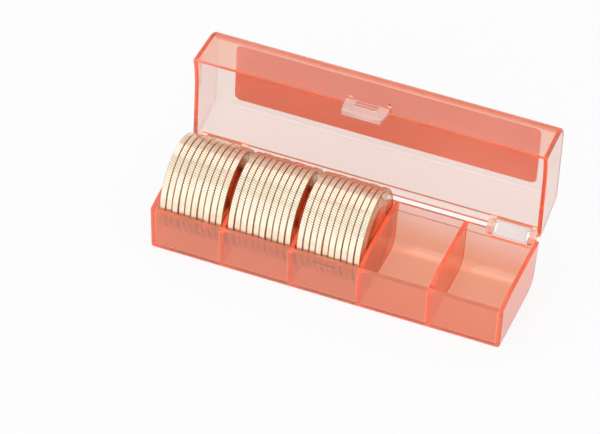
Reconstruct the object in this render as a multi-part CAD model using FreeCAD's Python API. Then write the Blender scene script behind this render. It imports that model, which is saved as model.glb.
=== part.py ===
"""Hinged coin storage case of clear tinted plastic, with three stacks of coins in it.

The case is drawn shut, with X along its length, Y from its front to its back and Z up.
Then the hinge links and the lid are turned back to the open stop, which is the stored pose.
The origin is the middle of the base's underside. All sizes are millimetres and degrees.
"""
import math
import os

import FreeCAD
import Part

V = FreeCAD.Vector

# Coins that the case is made for
coin_diameter = 26.5
coin_thickness = 1.81
coins_per_stack = 10
stacked_coin_gap = 0.02
filled_compartments = 3
coin_wander = 0.16
coin_sides = 36

# Compartments
compartments = 5
stack_play = 0.7
end_compartment_extra = 0.4
depth_play = 1.3
headroom = 1.2

# Walls
wall = 1.2
floor = 1.1
divider = 1.2
front_rim_height = 13.6
rear_rim_height = 15.4
rim_sweep = 12.0
parting_gap = 0.06
divider_nose_relief = 1.0
divider_nose_drop = 0.9

# Draft of the moulded faces, measured at the end of each wall away from the parting line
base_front_draft = 0.9
base_rear_draft = 0.15
base_end_draft = 0.35
lid_front_draft = 0.12
lid_end_draft = 0.35

# Rounding
base_front_radius = 1.0
base_rear_radius = 5.0
shoulder_radius = 5.0
ridge_radius = 1.2
outer_edge_radius = 0.8
inner_corner_radius = 0.6

# Leaning back of the lid
lid_back_upright = 2.4
lid_back_lean = 3.3

# Thinned strip along the inside of both rear rims
rear_rim_thickness = 0.65
rear_strip_height = 2.4

# Hinges
open_angle = 88.0
hinge_end_distance = 8.4
notch_width = 10.2
notch_depth = 2.45
link_width = 8.2
link_thickness = 0.9
link_pivot_offset = 1.7
pivot_behind_wall = 0.06
pin_length = 1.0
pin_clearance = 0.04
pin_end_clearance = 0.2
lug_width = 1.9
lug_reach = 1.8
lug_heel_radius = 0.6
lug_height = 3.9
lug_top_gap = 0.1
stop_gap = 0.02

# Latch
tab_width = 12.4
tab_foot_width = 11.4
tab_reach = 6.0
tab_thickness = 1.1
tab_clearance = 0.35
tab_overlap = 1.4
tab_lip_height = 1.3
tab_lip_flare = 0.5
slot_width = 6.3
slot_top_drop = 0.5
slot_height = 1.8
bar_width = 10.0
bar_height = 2.4
bar_reach = 1.0
nib_width = 5.2
nib_height = 1.3
nib_clearance = 0.05

# Label
label_length = 88.8
label_width = 18.7
label_thickness = 0.12
label_corner_radius = 1.8
label_rear_margin = 2.6

# Print on the label, in plain fields of colour. Margins are from the label's ends and front edge.
print_thickness = 0.03
dot_diameter = 1.6
dot_sides = 12
dots = 6
dot_pitch = 3.04
dot_end_margin = 4.2
dot_row = 5.5
disc_diameter = 9.4
disc_sides = 24
discs = 3
disc_pitch = 11.0
disc_end_margin = 49.5
disc_row = 8.4
bar_thickness = 1.0
title_end_margin = 3.4
title_length = 17.0
title_row = 9.2
line_end_margin = 25.6
line_length = 14.0
line_rows = (4.2, 7.4)
footer_end_margin = 3.2
footer_length = 8.0
footer_row = 3.8

# Worked-out sizes
pitch = coins_per_stack * coin_thickness + stack_play + divider
inner_length = compartments * pitch - divider + 2 * end_compartment_extra
length = inner_length + 2 * wall
depth = coin_diameter + depth_play + 2 * wall
height = floor + coin_diameter + headroom + wall
ridge_y = depth - lid_back_lean
label_front = ridge_y - label_rear_margin - label_width
pin_radius = link_thickness / 2
bore_radius = pin_radius + pin_clearance
pivot_y = depth + pivot_behind_wall
lower_pivot = V(0, pivot_y, rear_rim_height - link_pivot_offset)
upper_pivot = V(0, pivot_y, rear_rim_height + link_pivot_offset)
half_angle = open_angle / 2
divider_places = [(i - compartments / 2) * pitch for i in range(1, compartments)]
hinge_places = [-(length / 2 - hinge_end_distance), length / 2 - hinge_end_distance]
beyond = 60.0  # reaches past the whole case from its middle
ALONG_X = V(1, 0, 0)


def rounded_face(corners, radii):
    """A flat face through the corners in order, each rounded by its radius, 0 for a sharp one."""
    count = len(corners)
    starts, ends, middles = [], [], []
    for i, (corner, radius) in enumerate(zip(corners, radii)):
        back = (corners[i - 1] - corner).normalize()
        ahead = (corners[(i + 1) % count] - corner).normalize()
        half_turn = back.getAngle(ahead) / 2
        reach = radius / math.tan(half_turn)
        centre_way = (back + ahead).normalize()
        starts.append(corner + back * reach)
        ends.append(corner + ahead * reach)
        middles.append(corner + centre_way * (radius / math.sin(half_turn) - radius))
    edges = []
    for i in range(count):
        if radii[i] > 0:
            edges.append(Part.Arc(starts[i], middles[i], ends[i]).toShape())
        following = starts[(i + 1) % count]
        if ends[i].distanceToPoint(following) > 1e-6:
            edges.append(Part.LineSegment(ends[i], following).toShape())
    return Part.Face(Part.Wire(edges))


def many_sided(middle, across, upward, width, sides):
    """A flat face of many equal sides, one of them square to upward, as wide across them as given."""
    radius = width / 2 / math.cos(math.pi / sides)
    turns = [2 * math.pi * (i + 0.5) / sides for i in range(sides)]
    corners = [middle + across * (radius * math.sin(t)) + upward * (radius * math.cos(t)) for t in turns]
    return Part.Face(Part.makePolygon(corners + corners[:1]))


def side_prism(corners, radii, width):
    """A profile given as (y, z) corners, carried along X over the width, centred on X = 0."""
    face = rounded_face([V(-width / 2, y, z) for y, z in corners], radii)
    return face.extrude(V(width, 0, 0))


def front_prism(corners, radii, y_low, y_high):
    """A profile given as (x, z) corners, carried along Y."""
    face = rounded_face([V(x, y_low, z) for x, z in corners], radii)
    return face.extrude(V(0, y_high - y_low, 0))


def box(x_low, x_high, y_low, y_high, z_low, z_high):
    return Part.makeBox(x_high - x_low, y_high - y_low, z_high - z_low, V(x_low, y_low, z_low))


def rod(x_low, x_high, centre, radius):
    return Part.makeCylinder(radius, x_high - x_low, V(x_low, centre.y, centre.z), ALONG_X)


def parting_solid(lift, upward):
    """All that lies above, or below, the swept line where base and lid meet, raised by lift."""
    low = V(-beyond, 0, front_rim_height + lift)
    bend = V(-beyond, rim_sweep / 2, rear_rim_height + lift)
    high = V(-beyond, rim_sweep, rear_rim_height + lift)
    front = V(-beyond, -beyond, front_rim_height + lift)
    rear = V(-beyond, 2 * beyond, rear_rim_height + lift)
    far_z = 2 * beyond if upward else -beyond
    far_rear = V(-beyond, 2 * beyond, far_z)
    far_front = V(-beyond, -beyond, far_z)
    sweep = Part.BezierCurve()
    sweep.setPoles([low, bend, high])
    edges = [
        Part.LineSegment(front, low).toShape(),
        sweep.toShape(),
        Part.LineSegment(high, rear).toShape(),
        Part.LineSegment(rear, far_rear).toShape(),
        Part.LineSegment(far_rear, far_front).toShape(),
        Part.LineSegment(far_front, front).toShape(),
    ]
    return Part.Face(Part.Wire(edges)).extrude(V(2 * beyond, 0, 0))


def end_edges(shape):
    """The edges that run around the two end faces."""
    middle = [e for e in shape.Edges if abs(e.CenterOfMass.x) < length / 4]
    return [e for e in shape.Edges if not any(e.isSame(m) for m in middle)]


def base_block(inset, top):
    """The base's outer form, or the form that is inset by a wall, up to a level top."""
    def front_y(z):
        return base_front_draft * (1 - z / front_rim_height) + inset

    def rear_y(z):
        return depth - base_rear_draft * (1 - z / rear_rim_height) - inset

    def end_x(z):
        return length / 2 - base_end_draft * (1 - z / rear_rim_height) - inset

    bottom = floor if inset else 0.0
    front_radius = inner_corner_radius if inset else base_front_radius
    rear_radius = base_rear_radius - inset
    profile = [(front_y(bottom), bottom), (rear_y(bottom), bottom), (rear_y(top), top), (front_y(top), top)]
    plan = [(-end_x(bottom), bottom), (end_x(bottom), bottom), (end_x(top), top), (-end_x(top), top)]
    body = side_prism(profile, [front_radius, rear_radius, 0, 0], 2 * beyond)
    block = body.common(front_prism(plan, [0, 0, 0, 0], -beyond, 2 * beyond))
    return block if inset else block.makeFillet(outer_edge_radius, end_edges(block))


def lid_block(inset, bottom):
    """The lid's outer form, or the form that is inset by a wall, down to a level bottom."""
    rise = height - front_rim_height

    def front_y(z):
        return lid_front_draft * (z - front_rim_height) / rise + inset

    def end_x(z):
        return length / 2 - lid_end_draft * (z - front_rim_height) / rise - inset

    upright_top = rear_rim_height + lid_back_upright
    lean = math.atan2(lid_back_lean, height - upright_top)
    top = height - inset
    bend_drop = inset * math.tan(lean / 2)
    rear_top_y = ridge_y - inset / math.cos(lean) + inset * math.tan(lean)
    profile = [
        (front_y(bottom), bottom),
        (depth - inset, bottom),
        (depth - inset, upright_top - bend_drop),
        (rear_top_y, top),
        (front_y(top), top),
    ]
    radii = [0, 0, 0, max(ridge_radius - inset, inner_corner_radius), shoulder_radius - inset]
    plan = [(-end_x(bottom), bottom), (end_x(bottom), bottom), (end_x(top), top), (-end_x(top), top)]
    body = side_prism(profile, radii, 2 * beyond)
    block = body.common(front_prism(plan, [0, 0, 0, 0], -beyond, 2 * beyond))
    return block if inset else block.makeFillet(outer_edge_radius, end_edges(block))


def rear_strip(z_low, z_high):
    """The room that thins the rear wall beside its rim, between the end walls."""
    half = inner_length / 2 - inner_corner_radius
    return box(-half, half, depth - 2 * wall, depth - rear_rim_thickness, z_low, z_high)


def hinge_lugs(upper):
    """The two pairs of lugs on a rear wall, one lug at each side of a notch.

    A lug's sloped face is the stop: it lies in the plane that halves the opened hinge. The nose
    above it is round, so that the lugs of lid and base roll past each other as the hinge turns.
    """
    half = math.radians(half_angle)
    across = (math.sin(half), math.cos(half))
    middle_y = lower_pivot.y + link_pivot_offset * across[0]
    middle_z = lower_pivot.z + link_pivot_offset * across[1]

    def stop_y(z):
        return middle_y + (-stop_gap - (z - middle_z) * across[1]) / across[0]

    def stop_z(y):
        return middle_z + (-stop_gap - (y - middle_y) * across[0]) / across[1]

    top = rear_rim_height - lug_top_gap
    foot = rear_rim_height - lug_height
    inner = depth - rear_rim_thickness
    outer = depth + lug_reach
    profile = [
        (inner, top),
        (stop_y(top), top),
        (outer, stop_z(outer)),
        (outer, foot + lug_reach),
        (inner, foot),
    ]
    if upper:
        profile = [(y, 2 * rear_rim_height - z) for y, z in profile]
    nose_radius = link_pivot_offset - lug_top_gap
    face = rounded_face([V(0, y, z) for y, z in profile], [0, nose_radius, 0, lug_heel_radius, 0])
    lugs = []
    for x in hinge_places:
        for low in (x - notch_width / 2 - lug_width, x + notch_width / 2):
            lug = face.extrude(V(lug_width, 0, 0))
            lug.translate(V(low, 0, 0))
            lugs.append(lug)
    return lugs


def hinge_bores(centre):
    """Blind bores in the lugs for the stub pins of both links."""
    reach = link_width / 2 + (notch_width - link_width) / 2 + pin_length + pin_end_clearance
    return [rod(x - reach, x + reach, centre, bore_radius) for x in hinge_places]


def hinge_notches(z_low, z_high):
    """The two openings through a rear wall where the links lie."""
    half = notch_width / 2
    inner, outer = depth - 2 * wall, depth + 2 * lug_reach
    return [box(x - half, x + half, inner, outer, z_low, z_high) for x in hinge_places]


def tray():
    """The base: floor, walls and dividers in one moulding, with the catch nib and the lower lugs."""
    top = rear_rim_height + 4
    room = base_block(wall, top).fuse(rear_strip(rear_rim_height - rear_strip_height, top))
    for x in divider_places:
        half = divider / 2
        nose_y = wall + divider_nose_relief
        nose_z = front_rim_height - divider_nose_drop
        plate = box(x - half, x + half, -beyond, 2 * beyond, -beyond, beyond)
        nose = box(x - half, x + half, -beyond, nose_y, nose_z, beyond)
        room = room.cut(plate.cut(nose))
    shell = base_block(0.0, top).cut(room).cut(parting_solid(0.0, True))
    shell = shell.fuse(hinge_lugs(upper=False) + [catch_nib()])
    notches = hinge_notches(rear_rim_height - notch_depth, rear_rim_height + 2 * notch_depth)
    return shell.cut(notches).cut(hinge_bores(lower_pivot)).removeSplitter()


def slot_levels():
    """Top and bottom of the window in the latch tab."""
    slot_top = front_rim_height - slot_top_drop
    return slot_top, slot_top - slot_height


def catch_nib():
    """The nib on the front wall that stands in the tab's window when the case is shut."""
    slot_top, slot_bottom = slot_levels()
    middle = (slot_top + slot_bottom) / 2
    low, high = middle - nib_height / 2, middle + nib_height / 2
    tip_y = nib_clearance - tab_clearance
    profile = [(wall / 2, low), (wall / 2, high), (0.0, high), (tip_y, middle + nib_height / 6), (tip_y, low)]
    return side_prism(profile, [0, 0, 0, 0, 0], nib_width)


def latch_tab():
    """The tab that hangs from the lid over the front wall, its bar, its window and its lip."""
    slot_top, slot_bottom = slot_levels()
    foot = front_rim_height - tab_reach
    head = front_rim_height + tab_overlap
    inner, outer = -tab_clearance, -tab_clearance - tab_thickness
    root = front_rim_height + parting_gap
    profile = [
        (inner, foot),
        (inner, root),
        (0.0, root),
        (wall / 2, root + wall / 2),
        (wall / 2, head),
        (outer, head),
        (outer, foot + tab_lip_height),
        (outer - tab_lip_flare, foot),
    ]
    hook = side_prism(profile, [0, 0, 0, 0, 0, 0.3, 0.8, 0.2], 2 * beyond)
    outline = [
        (-tab_foot_width / 2, foot),
        (tab_foot_width / 2, foot),
        (tab_width / 2, slot_bottom),
        (tab_width / 2, head),
        (-tab_width / 2, head),
        (-tab_width / 2, slot_bottom),
    ]
    hook = hook.common(front_prism(outline, [0.5, 0.5, 2, 0.3, 0.3, 2], -beyond, beyond))
    window = box(-slot_width / 2, slot_width / 2, -beyond, 0, slot_bottom, slot_top)
    bar_top = head + bar_height
    bar_profile = [
        (wall / 2, head),
        (wall / 2, bar_top),
        (0.0, bar_top),
        (-bar_reach, bar_top - bar_reach),
        (-bar_reach, head),
    ]
    bar = side_prism(bar_profile, [0, 0, 0, 0.4, 0], bar_width)
    return hook.cut(window).fuse(bar)


def lid_shut():
    """The lid as it lies on the base: one moulding with the latch tab and the upper lugs."""
    bottom = front_rim_height - 4
    strip_top = rear_rim_height + rear_strip_height
    room = lid_block(wall, bottom).fuse(rear_strip(bottom, strip_top))
    shell = lid_block(0.0, bottom).cut(room).cut(parting_solid(parting_gap, False))
    shell = shell.fuse(hinge_lugs(upper=True) + [latch_tab()])
    notches = hinge_notches(rear_rim_height - 2 * notch_depth, rear_rim_height + notch_depth)
    return shell.cut(notches).cut(hinge_bores(upper_pivot)).removeSplitter()


def label_shut():
    """The label, stuck on the flat of the lid's top."""
    rear = ridge_y - label_rear_margin
    half = label_length / 2
    outline = [(-half, label_front), (half, label_front), (half, rear), (-half, rear)]
    face = rounded_face([V(x, y, height) for x, y in outline], [label_corner_radius] * 4)
    return face.extrude(V(0, 0, label_thickness))


def printed_round(end_margin, row, diameter, sides):
    """One printed round, as many-sided as given, with its middle at the two margins."""
    middle = V(-label_length / 2 + end_margin, label_front + row, height + label_thickness)
    return many_sided(middle, ALONG_X, V(0, 1, 0), diameter, sides).extrude(V(0, 0, print_thickness))


def printed_bar(x_low, bar_length, row):
    low = label_front + row - bar_thickness / 2
    base = height + label_thickness
    return box(x_low, x_low + bar_length, low, low + bar_thickness, base, base + print_thickness)


def printed_dots():
    places = [dot_end_margin + i * dot_pitch for i in range(dots)]
    return Part.makeCompound([printed_round(x, dot_row, dot_diameter, dot_sides) for x in places])


def printed_discs():
    places = [disc_end_margin + i * disc_pitch for i in range(discs)]
    return Part.makeCompound([printed_round(x, disc_row, disc_diameter, disc_sides) for x in places])


def printed_bars():
    """The bars that stand for a title, two lines and a footer."""
    left, right = -label_length / 2, label_length / 2
    bars = [printed_bar(left + title_end_margin, title_length, title_row)]
    bars += [printed_bar(left + line_end_margin, line_length, row) for row in line_rows]
    bars.append(printed_bar(right - footer_end_margin - footer_length, footer_length, footer_row))
    return Part.makeCompound(bars)


def link_shut(x):
    """A hinge link: a flat plate with a rounded edge and two stub pins at each pivot."""
    half = link_width / 2
    plate = box(x - half, x + half, pivot_y - pin_radius, pivot_y + pin_radius, lower_pivot.z, upper_pivot.z)
    pin_reach = notch_width / 2 + pin_length
    pins = [rod(x - pin_reach, x + pin_reach, pivot, pin_radius) for pivot in (lower_pivot, upper_pivot)]
    return plate.fuse(pins).removeSplitter()


def coin(compartment, place):
    """One coin of a stack, standing on its edge on the floor of its compartment.

    It is a prism of many flat sides, one of them on the floor, and as wide across them as the coin.
    """
    stack_length = coins_per_stack * coin_thickness + (coins_per_stack - 1) * stacked_coin_gap
    right_face = (compartment + 1 - compartments / 2) * pitch - divider / 2 - stacked_coin_gap
    left = right_face - stack_length + place * (coin_thickness + stacked_coin_gap)
    wander = coin_wander * math.sin(2.4 * (place + coins_per_stack * compartment))
    middle = V(left, depth / 2 + wander, floor + coin_diameter / 2)
    face = many_sided(middle, V(0, 1, 0), V(0, 0, 1), coin_diameter, coin_sides)
    return face.extrude(V(coin_thickness, 0, 0))


def turned(shape, pivot, angle):
    """The shape turned backwards about a pivot line along X."""
    result = shape.copy()
    result.rotate(pivot, ALONG_X, -angle)
    return result


def opened_link(shape):
    return turned(shape, lower_pivot, half_angle)


def opened_lid(shape):
    return turned(turned(shape, upper_pivot, half_angle), lower_pivot, half_angle)


def write(name, shape, solids=1):
    """Moves the piece so that the origin is the middle of the underside, and writes it."""
    placed = shape.copy()
    placed.translate(V(0, -depth / 2, 0))
    if len(placed.Solids) != solids or not placed.isValid():
        raise ValueError(name + " is not made of %d valid solids" % solids)
    whole = placed if solids > 1 else placed.Solids[0]
    whole.exportStep(os.path.join("parts", name + ".step"))
    volumes[name] = placed.Volume


volumes = {}
os.makedirs("parts", exist_ok=True)
write("base_tray", tray())
write("lid", opened_lid(lid_shut()))
write("lid_label", opened_lid(label_shut()))
write("label_dots", opened_lid(printed_dots()), dots)
write("label_discs", opened_lid(printed_discs()), discs)
write("label_bars", opened_lid(printed_bars()), 2 + len(line_rows))
for side, place_x in zip(("left", "right"), hinge_places):
    write("hinge_link_" + side, opened_link(link_shut(place_x)))
for stack in range(filled_compartments):
    for number in range(coins_per_stack):
        write("coin_%d_%02d" % (stack + 1, number + 1), coin(stack, number))

joint_height = opened_link(Part.Vertex(upper_pivot)).Point
print("size shut", round(length, 3), round(depth, 3), round(height, 3))
print("lower pivot y z", round(lower_pivot.y - depth / 2, 4), round(lower_pivot.z, 4))
print("upper pivot y z", round(joint_height.y - depth / 2, 4), round(joint_height.z, 4))
print("pieces", len(volumes), "volume", round(sum(volumes.values()), 1))
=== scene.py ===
"""Looks of the hinged coin storage case: clear tinted plastic, printed label, white links, coins.

The file is laid out as an add-on. Its panel lists one operator for each group of pieces and one
for the stage. All sizes are metres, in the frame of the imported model.
"""
import math
import random

import bmesh
import bpy
from mathutils import Matrix, Vector


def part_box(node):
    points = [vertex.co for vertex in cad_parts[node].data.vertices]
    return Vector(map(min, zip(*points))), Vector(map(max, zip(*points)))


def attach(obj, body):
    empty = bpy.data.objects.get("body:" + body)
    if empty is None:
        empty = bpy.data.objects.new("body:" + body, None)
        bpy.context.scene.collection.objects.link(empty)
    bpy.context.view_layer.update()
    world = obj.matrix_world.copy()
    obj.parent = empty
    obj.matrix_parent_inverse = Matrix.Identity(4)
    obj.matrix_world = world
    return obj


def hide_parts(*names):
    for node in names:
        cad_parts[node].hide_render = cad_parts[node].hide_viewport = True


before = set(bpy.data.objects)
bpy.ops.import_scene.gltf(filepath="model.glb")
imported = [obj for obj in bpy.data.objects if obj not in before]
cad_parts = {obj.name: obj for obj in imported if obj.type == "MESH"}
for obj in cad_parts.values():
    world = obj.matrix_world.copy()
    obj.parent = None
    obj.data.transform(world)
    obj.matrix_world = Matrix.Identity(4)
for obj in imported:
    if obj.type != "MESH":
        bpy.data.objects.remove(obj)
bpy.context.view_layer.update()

bl_info = {
    "name": "Coin storage case",
    "version": (1, 0, 0),
    "blender": (4, 5, 0),
    "location": "View3D > Sidebar > Coin case",
    "description": "Finishes and detailed pieces of a hinged coin storage case",
    "category": "Object",
}

MM = 0.001
WALL = 1.2 * MM

ACROSS = (1.0, 0.0, 0.0)
BACKWARD = (0.0, 1.0, 0.0)
UPWARD = (0.0, 0.0, 1.0)
WHITE = (1.0, 1.0, 1.0, 1.0)
BLACK = (0.0, 0.0, 0.0, 1.0)

# How much the open lid's faces lean, because it stands two degrees short of a right angle
LID_LEAN = 0.035

# Cosines that tell whether a face looks in a direction
FACING = 0.7
FACING_FORWARD = -0.3
FACING_OFF_THE_LID = 0.5

# How far a divider's zone reaches from its middle: half its thickness and a little more
DIVIDER_REACH = 0.55 * WALL

# How far the notches at the links reach beyond them
NOTCH_MARGIN = 1.0 * MM

# Levels of the noise between which smears and scratches appear, and how scratches are drawn out
SMEAR_LEVELS = (0.42, 0.68)
SCRATCH_LEVELS = (0.66, 0.74)
SCRATCH_TURN = (0.3, 0.5, 0.9)
SCRATCH_STRETCH = (0.08, 1.0, 1.0)

# Where a coin's painted shade of the gaps between stacked coins starts and is full, from the middle
# of its thickness
GAP_SHADE_REACH = (0.71 * MM, 0.88 * MM)

# Where the painted shade in the milling's grooves starts and how far the edge reaches inward, in
# depths of a reed
MILLING_START = 0.35
EDGE_REACH = 1.5

# A coin's raised ring, as shares of the radius and of the rim's height, and its half widths
RING_PLACE = 0.62
RING_HEIGHT = 0.6
RING_TOP = 0.3 * MM
RING_FOOT = 0.5 * MM

# Width of the rim's inner slope, slant of a reed in reed pitches, and rows on the milled edge
RIM_SLOPE = 0.15 * MM
REED_SLANT = 0.9
EDGE_ROW = 0.3
SHARP_ANGLE = math.radians(25)

# The stage
TABLE_RADIUS = 4.0
TABLE_SIDES = 96
TABLE_DROP = 0.1 * MM
LAMP_AIM = (0.0, 0.0, 0.02)
MAIN_LAMP_SIZE = 0.7
MAIN_LAMP_PLACE = (-0.35, -0.25, 0.95)
FRONT_LAMP_SIZE = 1.5
FRONT_LAMP_PLACE = (0.1, -0.95, 0.6)

# The fitted camera: angles in degrees, and the offset of the case in its ground frame in mm
CAMERA_PITCH = 39.891
CAMERA_ROLL = 3.983
CAMERA_YAW = 18.602
CAMERA_OFFSET = (12.165, -19.811, 0.0)
SENSOR_WIDTH = 36.0
CLIP_START = 0.05
CLIP_END = 20.0


def all_coins():
    return sorted(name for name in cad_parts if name.startswith("coin_"))


# Shader helpers

def new_material(name):
    """An empty material with its Principled shader and its output."""
    material = bpy.data.materials.new(name)
    material.use_nodes = True
    tree = material.node_tree
    tree.nodes.clear()
    output = tree.nodes.new("ShaderNodeOutputMaterial")
    shader = tree.nodes.new("ShaderNodeBsdfPrincipled")
    tree.links.new(shader.outputs["BSDF"], output.inputs["Surface"])
    return material, tree, shader, output


def feed(tree, made, inputs):
    """Gives a node its inputs, each as a value or as a socket to link."""
    for key, value in inputs.items():
        socket = made.inputs[key]
        if isinstance(value, bpy.types.NodeSocket):
            tree.links.new(value, socket)
        else:
            socket.default_value = value


def node(tree, kind, inputs, **settings):
    """A node with its settings and its inputs."""
    made = tree.nodes.new(kind)
    for key, value in settings.items():
        setattr(made, key, value)
    feed(tree, made, inputs)
    return made


def maths(tree, operation, *values):
    """The result of a calculation with up to three values or sockets."""
    made = node(tree, "ShaderNodeMath", dict(enumerate(values)), operation=operation)
    return made.outputs[0]


def product(tree, first, second):
    """The product of two values, which is also the mask of what lies in both of two masks."""
    return maths(tree, "MULTIPLY", first, second)


def either(tree, first, second):
    """1 where at least one of two masks is 1."""
    return maths(tree, "MAXIMUM", first, second)


def above(tree, value, limit):
    return maths(tree, "GREATER_THAN", value, limit)


def below(tree, value, limit):
    return maths(tree, "LESS_THAN", value, limit)


def between(tree, value, limits):
    """1 where the value is between two limits, else 0."""
    return product(tree, above(tree, value, limits[0]), below(tree, value, limits[1]))


def ramp(tree, value, limits):
    """0 before the first limit, 1 after the second, and a soft way between them."""
    inputs = {0: value, 1: limits[0], 2: limits[1]}
    return node(tree, "ShaderNodeMapRange", inputs, interpolation_type="SMOOTHSTEP").outputs[0]


def mixed(tree, factor, first, second):
    """A mix of two colours."""
    made = node(tree, "ShaderNodeMix", {0: factor, 6: first, 7: second}, data_type="RGBA")
    return made.outputs[2]


def bump(tree, height, strength, distance):
    """A normal that follows a pattern of height."""
    inputs = {"Strength": strength, "Distance": distance, "Height": height}
    return node(tree, "ShaderNodeBump", inputs).outputs[0]


def opaque(colour):
    return (colour[0], colour[1], colour[2], 1.0)


def dimmed(colour, share):
    return opaque([channel * share for channel in colour])


def along(tree, output, direction):
    """How far a texture coordinate reaches along a direction."""
    vector = tree.nodes.new("ShaderNodeTexCoord").outputs[output]
    inputs = {0: vector, 1: direction}
    return node(tree, "ShaderNodeVectorMath", inputs, operation="DOT_PRODUCT").outputs["Value"]


def sideways(tree, output):
    """How far a texture coordinate reaches to the left or to the right."""
    return maths(tree, "ABSOLUTE", along(tree, output, ACROSS))


def handling_group():
    """Signs of handling: faint smears, fine scratches and a soft unevenness of the surface.

    The object's own place is added to the pattern's, so that no two coins have the same marks.
    """
    name = "Signs of handling"
    if name in bpy.data.node_groups:
        return bpy.data.node_groups[name]
    group = bpy.data.node_groups.new(name, "ShaderNodeTree")
    face = group.interface
    for label, default in (("Smear size", 60.0), ("Grain size", 900.0), ("Scratch size", 240.0)):
        made = face.new_socket(label, in_out="INPUT", socket_type="NodeSocketFloat")
        made.default_value = default
    for label in ("Smears", "Grain", "Scratches"):
        face.new_socket(label, in_out="OUTPUT", socket_type="NodeSocketFloat")
    sizes = group.nodes.new("NodeGroupInput").outputs
    end = group.nodes.new("NodeGroupOutput")
    own = group.nodes.new("ShaderNodeTexCoord").outputs["Object"]
    centre = group.nodes.new("ShaderNodeObjectInfo").outputs["Location"]
    place = node(group, "ShaderNodeVectorMath", {0: own, 1: centre}, operation="ADD").outputs[0]
    stretch = {"Vector": place, "Rotation": SCRATCH_TURN, "Scale": SCRATCH_STRETCH}
    stretched = node(group, "ShaderNodeMapping", stretch).outputs[0]

    def noise(vector, size, detail):
        inputs = {"Vector": vector, "Scale": size, "Detail": detail}
        return node(group, "ShaderNodeTexNoise", inputs).outputs[0]

    smears = ramp(group, noise(place, sizes[0], detail=3.0), SMEAR_LEVELS)
    grain = noise(place, sizes[1], detail=2.0)
    low, high = SCRATCH_LEVELS
    strokes = {0: noise(stretched, sizes[2], detail=4.0), 1: low, 2: high}
    scratches = node(group, "ShaderNodeMapRange", strokes).outputs[0]
    feed(group, end, {0: smears, 1: grain, 2: scratches})
    return group


def handling(tree, smear_size, grain_size, scratch_size):
    """The masks of smears, grain and scratches, each with its own scale per metre."""
    inputs = {0: smear_size, 1: grain_size, 2: scratch_size}
    return node(tree, "ShaderNodeGroup", inputs, node_tree=handling_group()).outputs


def dress(cad_object, material):
    """Puts the material into every slot of a carried-over node."""
    if not cad_object.material_slots:
        cad_object.data.materials.append(material)
    for slot in cad_object.material_slots:
        slot.material = material


# Materials

def rim_mask(tree, part, reach):
    """1 on faces that look outward at the parting line, within a reach and before the lugs."""
    facing = above(tree, along(tree, "Normal", part["outward"]), FACING)
    place = between(tree, along(tree, "Object", part["outward"]), reach)
    before_lugs = below(tree, along(tree, "Object", part["behind"]), part["rear_face"])
    return product(tree, facing, product(tree, place, before_lugs))


def divider_zone(tree, part):
    """1 inside and on the faces of the tray's dividers."""
    half_pitch = part["divider_pitch"] / 2
    place = maths(tree, "ADD", along(tree, "Object", ACROSS), half_pitch)
    return below(tree, maths(tree, "PINGPONG", place, half_pitch), DIVIDER_REACH)


def edge_mask(tree, part):
    """1 where a wall is looked into along its own plane: at the end walls, dividers and floor."""
    edges = above(tree, sideways(tree, "Object"), part["half_length"] - WALL)
    if "divider_pitch" in part:
        edges = either(tree, edges, divider_zone(tree, part))
        low = below(tree, along(tree, "Object", UPWARD), WALL)
        forward = below(tree, along(tree, "Normal", BACKWARD), FACING_FORWARD)
        edges = either(tree, edges, product(tree, low, forward))
    return product(tree, edges, below(tree, sideways(tree, "Normal"), FACING))


def plastic_masks(tree, part):
    """Masks of the places where a plastic part looks different from its plain walls."""
    ledge = rim_mask(tree, part, part["ledges"])
    masks = {
        "rim": rim_mask(tree, part, part["rims"]),
        "ledge": ledge,
        "notch": product(tree, ledge, between(tree, sideways(tree, "Object"), part["notch"])),
        "edge": edge_mask(tree, part),
        "tab": above(tree, along(tree, "Object", part["outward"]), part["rims"][1]),
    }
    if "divider_pitch" in part:
        faces = above(tree, sideways(tree, "Normal"), FACING)
        masks["divider"] = product(tree, divider_zone(tree, part), faces)
    return masks


def plastic_tint(tree, look, part, masks, smears, near, far):
    """Tint of the surface: one near the rim, another far from it, and they meet over the fade. On
    the tray the far colour is painted shade.
    """
    towards_rim = ramp(tree, along(tree, "Object", part["fade_way"]), part["fade"])
    tint = mixed(tree, towards_rim, opaque(far), opaque(near))
    # The shoulder colour paints a deeper orange band, for light running along the lid's curved wall
    if "shoulder" in part:
        curved = ramp(tree, along(tree, "Object", part["shoulder_way"]), part["shoulder"])
        tint = mixed(tree, curved, tint, opaque(look.shoulder_painted_tint))
    tint = mixed(tree, product(tree, smears, 0.15), tint, dimmed(far, 0.96))
    tint = mixed(tree, masks["tab"], tint, opaque(look.tab_colour))
    # The divider colour is painted shade on the divider faces between the coin stacks
    if "divider" in masks:
        tint = mixed(tree, masks["divider"], tint, opaque(look.divider_shade_colour))
    # The rim colour is painted light: deeper orange where light runs the length of a wall to its
    # cut rims, notches and edges
    cut = either(tree, either(tree, masks["rim"], masks["notch"]), masks["edge"])
    return mixed(tree, cut, tint, opaque(look.rim_painted_tint))


def plastic_glow(tree, look, part, masks):
    """A small glow that stands for light guided inside the walls, stronger at the cut rims."""
    glow = mixed(tree, masks["edge"], opaque(look.wall_glow), opaque(look.edge_glow))
    if "divider" in masks:
        glow = mixed(tree, masks["divider"], glow, opaque(look.divider_glow))
    rim_glow = opaque(look.rim_glow)
    if "long_rims" in part:
        middle, start, end = part["long_rims"]
        away = maths(tree, "SUBTRACT", along(tree, "Object", part["fade_way"]), middle)
        at_long_rims = ramp(tree, maths(tree, "ABSOLUTE", away), (start, end))
        rim_glow = mixed(tree, at_long_rims, rim_glow, opaque(look.long_rim_glow))
    glow = mixed(tree, masks["rim"], glow, rim_glow)
    glow = mixed(tree, masks["ledge"], glow, opaque(look.ledge_glow))
    return mixed(tree, masks["notch"], glow, opaque(look.long_rim_glow))


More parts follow.
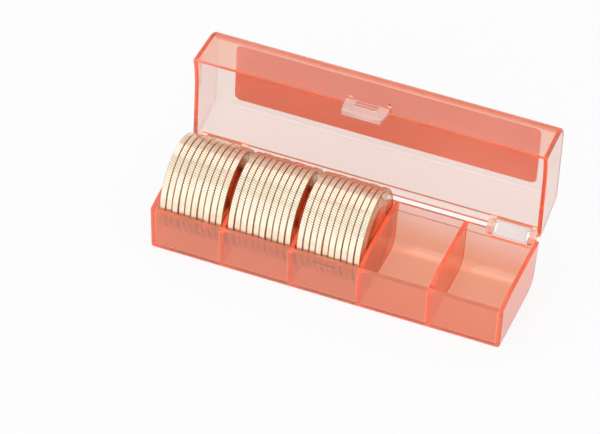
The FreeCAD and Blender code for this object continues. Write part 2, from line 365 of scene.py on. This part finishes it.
def plastic_material(name, look, density, clearness, near, far, part):
    """Clear tinted plastic: the deeper the light goes through it, the stronger the orange-red.

    What stands out beyond the rims, the latch tab, is satin under a coat.
    """
    material, tree, shader, output = new_material(name)
    masks = plastic_masks(tree, part)
    smears, grain, scratches = handling(tree, smear_size=55.0, grain_size=700.0, scratch_size=300.0)
    rough = maths(tree, "MULTIPLY_ADD", smears, 0.035, look.haze)
    rough = maths(tree, "ADD", rough, product(tree, scratches, 0.05))
    rough = maths(tree, "ADD", rough, product(tree, masks["tab"], look.tab_haze))
    feed(tree, shader, {
        "Base Color": plastic_tint(tree, look, part, masks, smears, near, far),
        "Roughness": rough,
        "IOR": look.refraction,
        "Transmission Weight": clearness,
        "Coat Weight": masks["tab"],
        "Coat Roughness": 0.3,
        "Coat IOR": 2.6,
        "Emission Color": plastic_glow(tree, look, part, masks),
        "Emission Strength": 1.0,
        "Normal": bump(tree, grain, strength=0.25, distance=0.02 * MM),
    })
    inside = {"Color": opaque(look.depth_colour), "Density": density}
    depth = node(tree, "ShaderNodeVolumeAbsorption", inside)
    tree.links.new(depth.outputs[0], output.inputs["Volume"])
    return material


def link_material(look):
    """Satin white plastic of the hinge links."""
    material, tree, shader, _ = new_material("Satin white link plastic")
    marks = handling(tree, smear_size=120.0, grain_size=1500.0, scratch_size=500.0)
    smears, grain, scratches = marks
    worn = product(tree, smears, 0.3)
    feed(tree, shader, {
        "Base Color": mixed(tree, worn, opaque(look.colour), opaque(look.worn_colour)),
        "Roughness": maths(tree, "MULTIPLY_ADD", scratches, 0.15, 0.42),
        "Normal": bump(tree, grain, strength=0.4, distance=0.03 * MM),
    })
    return material


def coin_material(look, radius):
    """Pale gold coin metal, with painted shade in the grooves of the milling and in the gaps beside
    the rims.
    """
    material, tree, shader, _ = new_material("Pale gold coin metal")
    marks = handling(tree, smear_size=260.0, grain_size=2500.0, scratch_size=800.0)
    smears, grain, scratches = marks
    own = tree.nodes.new("ShaderNodeTexCoord").outputs["Object"]
    x, y, z = node(tree, "ShaderNodeSeparateXYZ", {0: own}).outputs
    # Painted shade in the gaps between stacked coins, near the coin's faces
    beside_rim = ramp(tree, maths(tree, "ABSOLUTE", x), GAP_SHADE_REACH)
    squares = maths(tree, "ADD", product(tree, y, y), product(tree, z, z))
    from_axis = maths(tree, "SQRT", squares)
    # Painted shade in the grooves of the milled edge
    reach = (radius - MILLING_START * look.reed_depth, radius - look.reed_depth)
    on_edge = above(tree, from_axis, radius - EDGE_REACH * look.reed_depth)
    milling = product(tree, product(tree, ramp(tree, from_axis, reach), on_edge), 0.7)
    dark = product(tree, either(tree, milling, beside_rim), 0.8)
    toned = product(tree, smears, 0.25)
    worn = mixed(tree, toned, opaque(look.colour), opaque(look.toned_colour))
    height = maths(tree, "SUBTRACT", grain, product(tree, scratches, 0.5))
    feed(tree, shader, {
        "Base Color": mixed(tree, dark, worn, opaque(look.painted_shade_colour)),
        "Metallic": 1.0,
        "Roughness": maths(tree, "MULTIPLY_ADD", smears, 0.12, look.polish),
        "Normal": bump(tree, height, strength=0.3, distance=0.03 * MM),
    })
    return material


def film_material(name, colour, back_colour, outward, look, shine_through=0.0):
    """Printed film: one colour on its outer face, and the colour of its back on the other faces.

    The film lets a little light through, so that its back glows by the share that is given.
    """
    material, tree, shader, _ = new_material(name)
    smears, grain, _ = handling(tree, smear_size=90.0, grain_size=1800.0, scratch_size=400.0)
    outer = above(tree, along(tree, "Normal", outward), FACING_OFF_THE_LID)
    front = mixed(tree, product(tree, smears, 0.12), opaque(colour), dimmed(colour, 0.9))
    feed(tree, shader, {
        "Base Color": mixed(tree, outer, opaque(back_colour), front),
        "Roughness": maths(tree, "MULTIPLY_ADD", smears, 0.1, look.sheen_roughness),
        "Normal": bump(tree, grain, strength=0.3, distance=0.02 * MM),
    })
    if shine_through:
        feed(tree, shader, {
            "Emission Color": mixed(tree, outer, dimmed(back_colour, shine_through), BLACK),
            "Emission Strength": 1.0,
        })
    return material


def seen_directly(tree, through_clear=1.0):
    """1 for rays from the camera or off metal, a share for those through clear plastic, else 0."""
    path = tree.nodes.new("ShaderNodeLightPath").outputs
    seen = either(tree, path["Is Camera Ray"], path["Is Glossy Ray"])
    return either(tree, seen, product(tree, path["Is Transmission Ray"], through_clear))


def floor_material(look):
    """White table that keeps a faint shadow."""
    material, tree, shader, output = new_material("White table")
    smears, _, _ = handling(tree, smear_size=6.0, grain_size=400.0, scratch_size=30.0)
    worn = product(tree, smears, 0.02)
    feed(tree, shader, {
        "Base Color": mixed(tree, worn, opaque(look.floor_colour), dimmed(WHITE[:3], 0.9)),
        "Roughness": 0.8,
        "Specular IOR Level": 0.1,
    })
    white = node(tree, "ShaderNodeEmission", {"Color": WHITE, "Strength": 1.0})
    share = product(tree, seen_directly(tree, look.through_clear), 1.0 - look.shadow_share)
    blend = {0: share, 1: shader.outputs[0], 2: white.outputs[0]}
    both = node(tree, "ShaderNodeMixShader", blend)
    tree.links.new(both.outputs[0], output.inputs["Surface"])
    return material


# Settings

class PlasticSettings(bpy.types.PropertyGroup):
    lid_walls: bpy.props.FloatVectorProperty(
        name="Lid walls", description="Colour that the surface of the lid's walls gives to light",
        default=(1.0, 0.84, 0.77), size=3, subtype="COLOR", min=0.0, max=1.0,
    )
    lid_top: bpy.props.FloatVectorProperty(
        name="Lid top", description="Colour that the surface of the lid's top gives to light",
        default=(0.94, 0.945, 0.945), size=3, subtype="COLOR", min=0.0, max=1.0,
    )
    tray_rim_side: bpy.props.FloatVectorProperty(
        name="Tray near its rim",
        description="Colour that the tray's surface gives to light, near the rim",
        default=(0.98, 0.78, 0.72), size=3, subtype="COLOR", min=0.0, max=1.0,
    )
    # Deeper colour near the floor: painted shade of the shaded table under and behind the tray,
    # seen through the plastic
    tray_shaded_floor_side: bpy.props.FloatVectorProperty(
        name="Tray near its floor",
        description="Colour that the tray's surface gives to light, near the floor",
        default=(0.97, 0.56, 0.41), size=3, subtype="COLOR", min=0.0, max=1.0,
    )
    depth_colour: bpy.props.FloatVectorProperty(
        name="Depth colour", description="Colour that remains deep inside the plastic",
        default=(0.995, 0.51, 0.32), size=3, subtype="COLOR", min=0.0, max=1.0,
    )
    # Painted light: the deeper orange of light guided along the walls to their cut rims
    rim_painted_tint: bpy.props.FloatVectorProperty(
        name="Rim colour", description="Colour of the cut rims where lid and tray meet",
        default=(0.96, 0.58, 0.38), size=3, subtype="COLOR", min=0.0, max=1.0,
    )
    rim_glow: bpy.props.FloatVectorProperty(
        name="Rim glow", description="Light that the walls guide to their cut rims",
        default=(0.13, 0.05, 0.022), size=3, subtype="COLOR", min=0.0, max=1.0,
    )
    long_rim_glow: bpy.props.FloatVectorProperty(
        name="Long rim glow",
        description="Light guided to the lid's long rims and the notches at the links",
        default=(0.42, 0.14, 0.075), size=3, subtype="COLOR", min=0.0, max=1.0,
    )
    ledge_glow: bpy.props.FloatVectorProperty(
        name="Ledge glow",
        description="Light that leaves at the ledges of the thin strips at the rear",
        default=(0.20, 0.14, 0.13), size=3, subtype="COLOR", min=0.0, max=1.0,
    )
    edge_glow: bpy.props.FloatVectorProperty(
        name="Edge glow",
        description="Light that leaves where a wall is looked into along its plane",
        default=(0.16, 0.04, 0.008), size=3, subtype="COLOR", min=0.0, max=1.0,
    )
    wall_glow: bpy.props.FloatVectorProperty(
        name="Wall glow",
        description="Glow of the walls' plain faces",
        default=(0.012, 0.004, 0.0015), size=3, subtype="COLOR", min=0.0, max=1.0,
    )
    # Painted shade on the divider faces between the coin stacks
    divider_shade_colour: bpy.props.FloatVectorProperty(
        name="Divider colour",
        description="Colour that the faces of the tray's dividers give to light",
        default=(0.92, 0.48, 0.32), size=3, subtype="COLOR", min=0.0, max=1.0,
    )
    divider_glow: bpy.props.FloatVectorProperty(
        name="Divider glow", description="Light that leaves at the faces of the tray's dividers",
        default=(0.05, 0.005, 0.0), size=3, subtype="COLOR", min=0.0, max=1.0,
    )
    # A painted deeper orange band on the lid's curved shoulder, for light running along the curved
    # wall
    shoulder_painted_tint: bpy.props.FloatVectorProperty(
        name="Shoulder colour", description="Colour that the lid's curved shoulder gives to light",
        default=(0.86, 0.22, 0.09), size=3, subtype="COLOR", min=0.0, max=1.0,
    )
    tab_colour: bpy.props.FloatVectorProperty(
        name="Tab colour", description="Colour that the latch tab's surface gives to light",
        default=(1.0, 0.86, 0.82), size=3, subtype="COLOR", min=0.0, max=1.0,
    )
    tab_haze: bpy.props.FloatProperty(
        name="Tab haze", description="Roughness that the latch tab has more than the walls",
        default=0.4, min=0.0, max=1.0, subtype="FACTOR",
    )
    lid_density: bpy.props.FloatProperty(
        name="Lid depth density",
        description="How fast the lid's colour deepens with thickness, per metre",
        default=220.0, min=0.0,
    )
    tray_density: bpy.props.FloatProperty(
        name="Tray depth density",
        description="How fast the tray's colour deepens with thickness, per metre",
        default=320.0, min=0.0,
    )
    haze: bpy.props.FloatProperty(
        name="Haze", description="Roughness of the moulded surface", default=0.05, min=0.0, max=1.0,
        subtype="FACTOR",
    )
    lid_clearness: bpy.props.FloatProperty(
        name="Lid clearness",
        description="Share of the light that goes through the lid's surface unscattered",
        default=0.92, min=0.0, max=1.0, subtype="FACTOR",
    )
    tray_clearness: bpy.props.FloatProperty(
        name="Tray clearness",
        description="Share of the light that goes through the tray's surface unscattered",
        default=0.82, min=0.0, max=1.0, subtype="FACTOR",
    )
    refraction: bpy.props.FloatProperty(
        name="Refraction",
        description="Index of refraction of the plastic",
        default=1.5, min=1.0, max=2.0,
    )


class LinkSettings(bpy.types.PropertyGroup):
    colour: bpy.props.FloatVectorProperty(
        name="Colour", description="Colour of the clean link", default=(0.86, 0.82, 0.82), size=3,
        subtype="COLOR", min=0.0, max=1.0,
    )
    worn_colour: bpy.props.FloatVectorProperty(
        name="Worn colour",
        description="Colour where it is handled",
        default=(0.74, 0.70, 0.70), size=3, subtype="COLOR", min=0.0, max=1.0,
    )


class CoinSettings(bpy.types.PropertyGroup):
    colour: bpy.props.FloatVectorProperty(
        name="Colour",
        description="Colour of the bright metal",
        default=(0.88, 0.785, 0.64), size=3, subtype="COLOR", min=0.0, max=1.0,
    )
    toned_colour: bpy.props.FloatVectorProperty(
        name="Toned colour", description="Colour of the metal where it has darkened",
        default=(0.72, 0.55, 0.34), size=3, subtype="COLOR", min=0.0, max=1.0,
    )
    # Painted shade in the milling's grooves and in the gaps between stacked coins
    painted_shade_colour: bpy.props.FloatVectorProperty(
        name="Painted shade colour",
        description="Colour beside the rims and in the milling",
        default=(0.40, 0.22, 0.09), size=3, subtype="COLOR", min=0.0, max=1.0,
    )
    polish: bpy.props.FloatProperty(
        name="Roughness", description="Roughness of the metal", default=0.16, min=0.0, max=1.0,
        subtype="FACTOR",
    )
    reeds: bpy.props.IntProperty(
        name="Reeds", description="How many ribs the milled edge has", default=120, min=20, max=300,
    )
    reed_depth: bpy.props.FloatProperty(
        name="Reed depth",
        description="Depth of the milling",
        default=0.12 * MM, min=0.0, unit="LENGTH", precision=6,
    )
    rim_width: bpy.props.FloatProperty(
        name="Rim width",
        description="Width of the raised rim",
        default=1.0 * MM, min=0.0, unit="LENGTH", precision=6,
    )
    rim_height: bpy.props.FloatProperty(
        name="Rim height",
        description="Height of the rim above the field",
        default=0.12 * MM, min=0.0, unit="LENGTH", precision=6,
    )
    edge_bevel: bpy.props.FloatProperty(
        name="Edge bevel", description="Rounding between rim and edge", default=0.2 * MM, min=0.0,
        unit="LENGTH", precision=6,
    )
    turns: bpy.props.IntProperty(
        name="Turns", description="How many ways the coins are turned", default=5, min=1, max=20,
    )
    seed: bpy.props.IntProperty(
        name="Seed", description="Seed for how the coins are turned", default=11, min=0,
    )


class LabelSettings(bpy.types.PropertyGroup):
    paper_colour: bpy.props.FloatVectorProperty(
        name="Film colour",
        description="Colour of the outer face",
        default=(0.90, 0.90, 0.89), size=3, subtype="COLOR", min=0.0, max=1.0,
    )
    back_colour: bpy.props.FloatVectorProperty(
        name="Back colour", description="Colour of the face that is stuck to the lid",
        default=(1.0, 0.25, 0.12), size=3, subtype="COLOR", min=0.0, max=1.0,
    )
    shine_through: bpy.props.FloatProperty(
        name="Shine through", description="Share of light that comes through the film to its back",
        default=0.26, min=0.0, max=1.0, subtype="FACTOR",
    )
    dot_ink: bpy.props.FloatVectorProperty(
        name="Dot ink",
        description="Colour of the row of printed dots",
        default=(0.83, 0.09, 0.035), size=3, subtype="COLOR", min=0.0, max=1.0,
    )
    grey_ink: bpy.props.FloatVectorProperty(
        name="Grey ink",
        description="Colour of the printed discs and bars",
        default=(0.19, 0.16, 0.25), size=3, subtype="COLOR", min=0.0, max=1.0,
    )
    sheen_roughness: bpy.props.FloatProperty(
        name="Roughness", description="Roughness of the film", default=0.35, min=0.0, max=1.0,
        subtype="FACTOR",
    )


class StageSettings(bpy.types.PropertyGroup):
    floor_colour: bpy.props.FloatVectorProperty(
        name="Floor colour", description="Colour of the table", default=(0.95, 0.95, 0.95), size=3,
        subtype="COLOR", min=0.0, max=1.0,
    )
    shadow_share: bpy.props.FloatProperty(
        name="Shadow share", description="How much of the table's shadow is seen", default=0.12,
        min=0.0, max=1.0, subtype="FACTOR",
    )
    through_clear: bpy.props.FloatProperty(
        name="White through plastic",
        description="How far the table stays plain white where it is seen through the plastic",
        default=0.05, min=0.0, max=1.0, subtype="FACTOR",
    )
    sky_level: bpy.props.FloatProperty(
        name="Room light",
        description="Strength of the light from all around",
        default=0.67, min=0.0,
    )
    key_watts: bpy.props.FloatProperty(
        name="Main lamp",
        description="Power of the soft main lamp",
        default=1.4, min=0.0, unit="POWER",
    )
    front_watts: bpy.props.FloatProperty(
        name="Front lamp",
        description="Power of the soft lamp in front",
        default=4.6, min=0.0, unit="POWER",
    )
    camera_distance: bpy.props.FloatProperty(
        name="Camera distance", description="From the camera to the aim on the table",
        default=1.118467, min=0.1, unit="LENGTH",
    )
    camera_lens: bpy.props.FloatProperty(
        name="Camera lens",
        description="Focal length",
        default=241.53, min=1.0, subtype="DISTANCE_CAMERA",
    )


SETTINGS = (
    ("case_plastic", PlasticSettings),
    ("case_links", LinkSettings),
    ("case_coins", CoinSettings),
    ("case_label", LabelSettings),
    ("case_stage", StageSettings),
)


# Pieces

def lathe(rings, segments, start):
    """Mesh of closed rings with capped ends, turned by the start.

    Each ring is a function that gives x, radius and twist for one of its segments.
    """
    mesh = bmesh.new()
    rows = []
    for ring in rings:
        row = []
        for i in range(segments):
            x, radius, twist = ring(i)
            turn = 2 * math.pi * i / segments + twist + start
            row.append(mesh.verts.new((x, radius * math.cos(turn), radius * math.sin(turn))))
        rows.append(row)
    for low, high in zip(rows, rows[1:]):
        for i in range(segments):
            j = (i + 1) % segments
            mesh.faces.new((low[i], high[i], high[j], low[j]))
    for row, x, flip in ((rows[0], rings[0](0)[0], False), (rows[-1], rings[-1](0)[0], True)):
        centre = mesh.verts.new((x, 0, 0))
        for i in range(segments):
            j = (i + 1) % segments
            mesh.faces.new((centre, row[j], row[i]) if flip else (centre, row[i], row[j]))
    bmesh.ops.recalc_face_normals(mesh, faces=mesh.faces)
    return mesh


def coin_mesh(look, radius, thickness, start):
    """A coin with a raised rim, a raised ring on its field and a slanted milled edge."""
    half = thickness / 2
    segments = 2 * look.reeds
    slant = 2 * math.pi / look.reeds * REED_SLANT
    field = radius - look.rim_width
    ring_radius = RING_PLACE * radius
    ring_height = look.rim_height * RING_HEIGHT
    bevel = look.edge_bevel

    def plain(x, ring):
        return lambda i: (x, ring, 0.0)

    def milled(x):
        share = (x + half) / thickness
        return lambda i: (x, radius - (look.reed_depth if i % 2 else 0.0), slant * (share - 0.5))

    def side(sign):
        level = half - look.rim_height
        return [
            plain(sign * level, ring_radius - RING_FOOT),
            plain(sign * (level + ring_height), ring_radius - RING_TOP),
            plain(sign * (level + ring_height), ring_radius + RING_TOP),
            plain(sign * level, ring_radius + RING_FOOT),
            plain(sign * level, field),
            plain(sign * half, field + RIM_SLOPE),
            plain(sign * half, radius - bevel - look.reed_depth),
        ]

    places = (-half + bevel, -EDGE_ROW * half, EDGE_ROW * half, half - bevel)
    edge = [milled(x) for x in places]
    rings = side(-1) + edge + side(1)[::-1]
    made = lathe(rings, segments, start)
    mesh = bpy.data.meshes.new("Coin")
    made.to_mesh(mesh)
    made.free()
    mesh.shade_smooth()
    mesh.set_sharp_from_angle(angle=SHARP_ANGLE)
    return mesh


class CoinCasePlastic(bpy.types.Operator):
    """Gives the tray and the lid their clear tinted plastic"""
    bl_idname = "coin_case.plastic"
    bl_label = "Tray and lid"

    def execute(self, context):
        look = context.scene.case_plastic
        # Directions are about one long, and each pair of limits is measured along its direction
        half_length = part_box("base_tray")[1].x
        link_low, link_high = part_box("hinge_link_right")
        notch = (link_low.x - NOTCH_MARGIN, link_high.x + NOTCH_MARGIN)
        tray_part = {
            "outward": UPWARD,
            "rims": (13.3 * MM, 16.0 * MM),
            "ledges": (8.0 * MM, 13.3 * MM),
            "notch": notch,
            "behind": BACKWARD,
            "rear_face": 15.15 * MM,
            # The tray's colour deepens towards the floor as painted shade
            "fade_way": (0.0, 0.6, 0.8),
            "fade": (10.5 * MM, 20.5 * MM),
            "half_length": half_length,
            "divider_pitch": 20.0 * MM,
        }
        lid_part = {
            "outward": (0.0, -1.0, LID_LEAN),
            "rims": (-19.0 * MM, -11.2 * MM),
            "ledges": (-24.0 * MM, -19.0 * MM),
            "notch": notch,
            "behind": (0.0, LID_LEAN, -1.0),
            "rear_face": -15.55 * MM,
            "fade_way": UPWARD,
            "fade": (38.0 * MM, 46.0 * MM),
            "half_length": half_length,
            "shoulder_way": (0.0, 0.707, 0.707),
            "shoulder": (50.1 * MM, 50.7 * MM),
            "long_rims": (31.4 * MM, 13.6 * MM, 14.6 * MM),
        }
        tray = plastic_material(
            "Tinted clear tray plastic", look, look.tray_density, look.tray_clearness,
            look.tray_rim_side, look.tray_shaded_floor_side, tray_part,
        )
        lid = plastic_material(
            "Tinted clear lid plastic", look, look.lid_density, look.lid_clearness,
            look.lid_walls, look.lid_top, lid_part,
        )
        dress(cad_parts["base_tray"], tray)
        dress(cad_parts["lid"], lid)
        return {"FINISHED"}


class CoinCaseLinks(bpy.types.Operator):
    """Gives the hinge links their satin white plastic"""
    bl_idname = "coin_case.links"
    bl_label = "Hinge links"

    def execute(self, context):
        material = link_material(context.scene.case_links)
        for name in ("hinge_link_left", "hinge_link_right"):
            dress(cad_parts[name], material)
        return {"FINISHED"}


class CoinCaseCoins(bpy.types.Operator):
    """Makes the coins with their rims and milled edges, one for each coin of the model"""
    bl_idname = "coin_case.coins"
    bl_label = "Stacks of coins"

    def execute(self, context):
        look = context.scene.case_coins
        low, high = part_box("coin_1_01")
        radius = (high.z - low.z) / 2
        thickness = high.x - low.x
        material = coin_material(look, radius)
        reed_pitch = 2 * math.pi / look.reeds
        meshes = []
        for i in range(look.turns):
            mesh = coin_mesh(look, radius, thickness, reed_pitch * i / look.turns)
            mesh.materials.append(material)
            meshes.append(mesh)
        draw = random.Random(look.seed)
        for name in all_coins():
            low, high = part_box(name)
            coin = bpy.data.objects.new(name.replace("coin", "milled_coin"), draw.choice(meshes))
            context.scene.collection.objects.link(coin)
            coin.location = (low + high) / 2
            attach(coin, "tray")
            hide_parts(name)
        return {"FINISHED"}


class CoinCaseLabel(bpy.types.Operator):
    """Gives the label its printed film"""
    bl_idname = "coin_case.label"
    bl_label = "Label"

    def execute(self, context):
        look = context.scene.case_label
        outward = (0.0, 1.0, LID_LEAN)
        film = film_material(
            "Label film", look.paper_colour, look.back_colour, outward, look, look.shine_through
        )
        dots = film_material("Orange print", look.dot_ink, look.dot_ink, outward, look)
        grey = film_material("Violet-grey print", look.grey_ink, look.grey_ink, outward, look)
        dress(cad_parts["lid_label"], film)
        dress(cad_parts["label_dots"], dots)
        dress(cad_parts["label_discs"], grey)
        dress(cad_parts["label_bars"], grey)
        return {"FINISHED"}


class CoinCaseStage(bpy.types.Operator):
    """Builds the table, the lamps, the room light and the camera"""
    bl_idname = "coin_case.stage"
    bl_label = "Stage"

    def execute(self, context):
        look = context.scene.case_stage
        self.floor(context, look)
        self.room(context, look)
        self.lamps(context, look)
        self.camera(context, look)
        self.light_paths(context)
        return {"FINISHED"}

    def light_paths(self, context):
        """Light caught in a wall of the plastic turns many times before it leaves at a rim."""
        paths = context.scene.cycles
        paths.max_bounces = 40
        paths.diffuse_bounces = 14
        paths.glossy_bounces = 28
        paths.transmission_bounces = 28

    def floor(self, context, look):
        made = bmesh.new()
        bmesh.ops.create_circle(made, cap_ends=True, segments=TABLE_SIDES, radius=TABLE_RADIUS)
        mesh = bpy.data.meshes.new("Table")
        made.to_mesh(mesh)
        made.free()
        table = bpy.data.objects.new("Table", mesh)
        table.location = (0, 0, -TABLE_DROP)
        mesh.materials.append(floor_material(look))
        context.scene.collection.objects.link(table)

    def room(self, context, look):
        world = bpy.data.worlds.new("Room")
        world.use_nodes = True
        tree = world.node_tree
        tree.nodes.clear()
        lit = node(tree, "ShaderNodeBackground", {"Color": WHITE, "Strength": look.sky_level})
        seen = node(tree, "ShaderNodeBackground", {"Color": WHITE, "Strength": 1.0})
        blend = {0: seen_directly(tree), 1: lit.outputs[0], 2: seen.outputs[0]}
        both = node(tree, "ShaderNodeMixShader", blend)
        node(tree, "ShaderNodeOutputWorld", {"Surface": both.outputs[0]})
        context.scene.world = world

    def lamps(self, context, look):
        for name, size, watts, place in (
            ("Main lamp", MAIN_LAMP_SIZE, look.key_watts, MAIN_LAMP_PLACE),
            ("Front lamp", FRONT_LAMP_SIZE, look.front_watts, FRONT_LAMP_PLACE),
        ):
            lamp = bpy.data.lights.new(name, "AREA")
            lamp.shape = "DISK"
            lamp.size = size
            lamp.energy = watts
            made = bpy.data.objects.new(name, lamp)
            made.location = place
            aim = Vector(LAMP_AIM) - made.location
            made.rotation_euler = aim.to_track_quat("-Z", "Y").to_euler()
            context.scene.collection.objects.link(made)

    def camera(self, context, look):
        """The camera was fitted in a ground frame of its own, and is moved to the case's frame."""
        pitch, roll, yaw = (math.radians(a) for a in (CAMERA_PITCH, CAMERA_ROLL, CAMERA_YAW))
        offset = Vector(CAMERA_OFFSET) * MM
        back = Vector((0, -math.cos(pitch), math.sin(pitch)))
        across = Vector(ACROSS)
        upward = across.cross(-back)
        right = math.cos(roll) * across + math.sin(roll) * upward
        up = -math.sin(roll) * across + math.cos(roll) * upward
        turn = Matrix.Rotation(yaw, 3, "Z")
        place = turn @ (back * look.camera_distance - offset)
        right, up, back = turn @ right, turn @ up, turn @ back
        camera = bpy.data.cameras.new("Camera")
        camera.sensor_width = SENSOR_WIDTH
        camera.lens = look.camera_lens
        camera.clip_start = CLIP_START
        camera.clip_end = CLIP_END
        made = bpy.data.objects.new("Camera", camera)
        made.matrix_world = Matrix((
            (right.x, up.x, back.x, place.x),
            (right.y, up.y, back.y, place.y),
            (right.z, up.z, back.z, place.z),
            (0, 0, 0, 1),
        ))
        context.scene.collection.objects.link(made)
        context.scene.camera = made


OPERATORS = (CoinCasePlastic, CoinCaseLinks, CoinCaseCoins, CoinCaseLabel, CoinCaseStage)


class CoinCasePanel(bpy.types.Panel):
    """Lists the pieces of the coin case"""
    bl_idname = "VIEW3D_PT_coin_case"
    bl_label = "Coin case"
    bl_space_type = "VIEW_3D"
    bl_region_type = "UI"
    bl_category = "Coin case"

    def draw(self, context):
        for operator in OPERATORS:
            self.layout.operator(operator.bl_idname)
        for name, group in SETTINGS:
            box = self.layout.box()
            settings = getattr(context.scene, name)
            for key in group.__annotations__:
                box.prop(settings, key)


def register():
    for name, group in SETTINGS:
        bpy.utils.register_class(group)
        setattr(bpy.types.Scene, name, bpy.props.PointerProperty(type=group))
    for kind in OPERATORS + (CoinCasePanel,):
        bpy.utils.register_class(kind)


def unregister():
    for kind in OPERATORS + (CoinCasePanel,):
        bpy.utils.unregister_class(kind)
    for name, group in SETTINGS:
        delattr(bpy.types.Scene, name)
        bpy.utils.unregister_class(group)


def main():
    register()
    bpy.context.scene.view_settings.view_transform = "Standard"
    bpy.ops.coin_case.plastic()
    bpy.ops.coin_case.links()
    bpy.ops.coin_case.coins()
    bpy.ops.coin_case.label()
    bpy.ops.coin_case.stage()


if __name__ == "__main__":
    main()
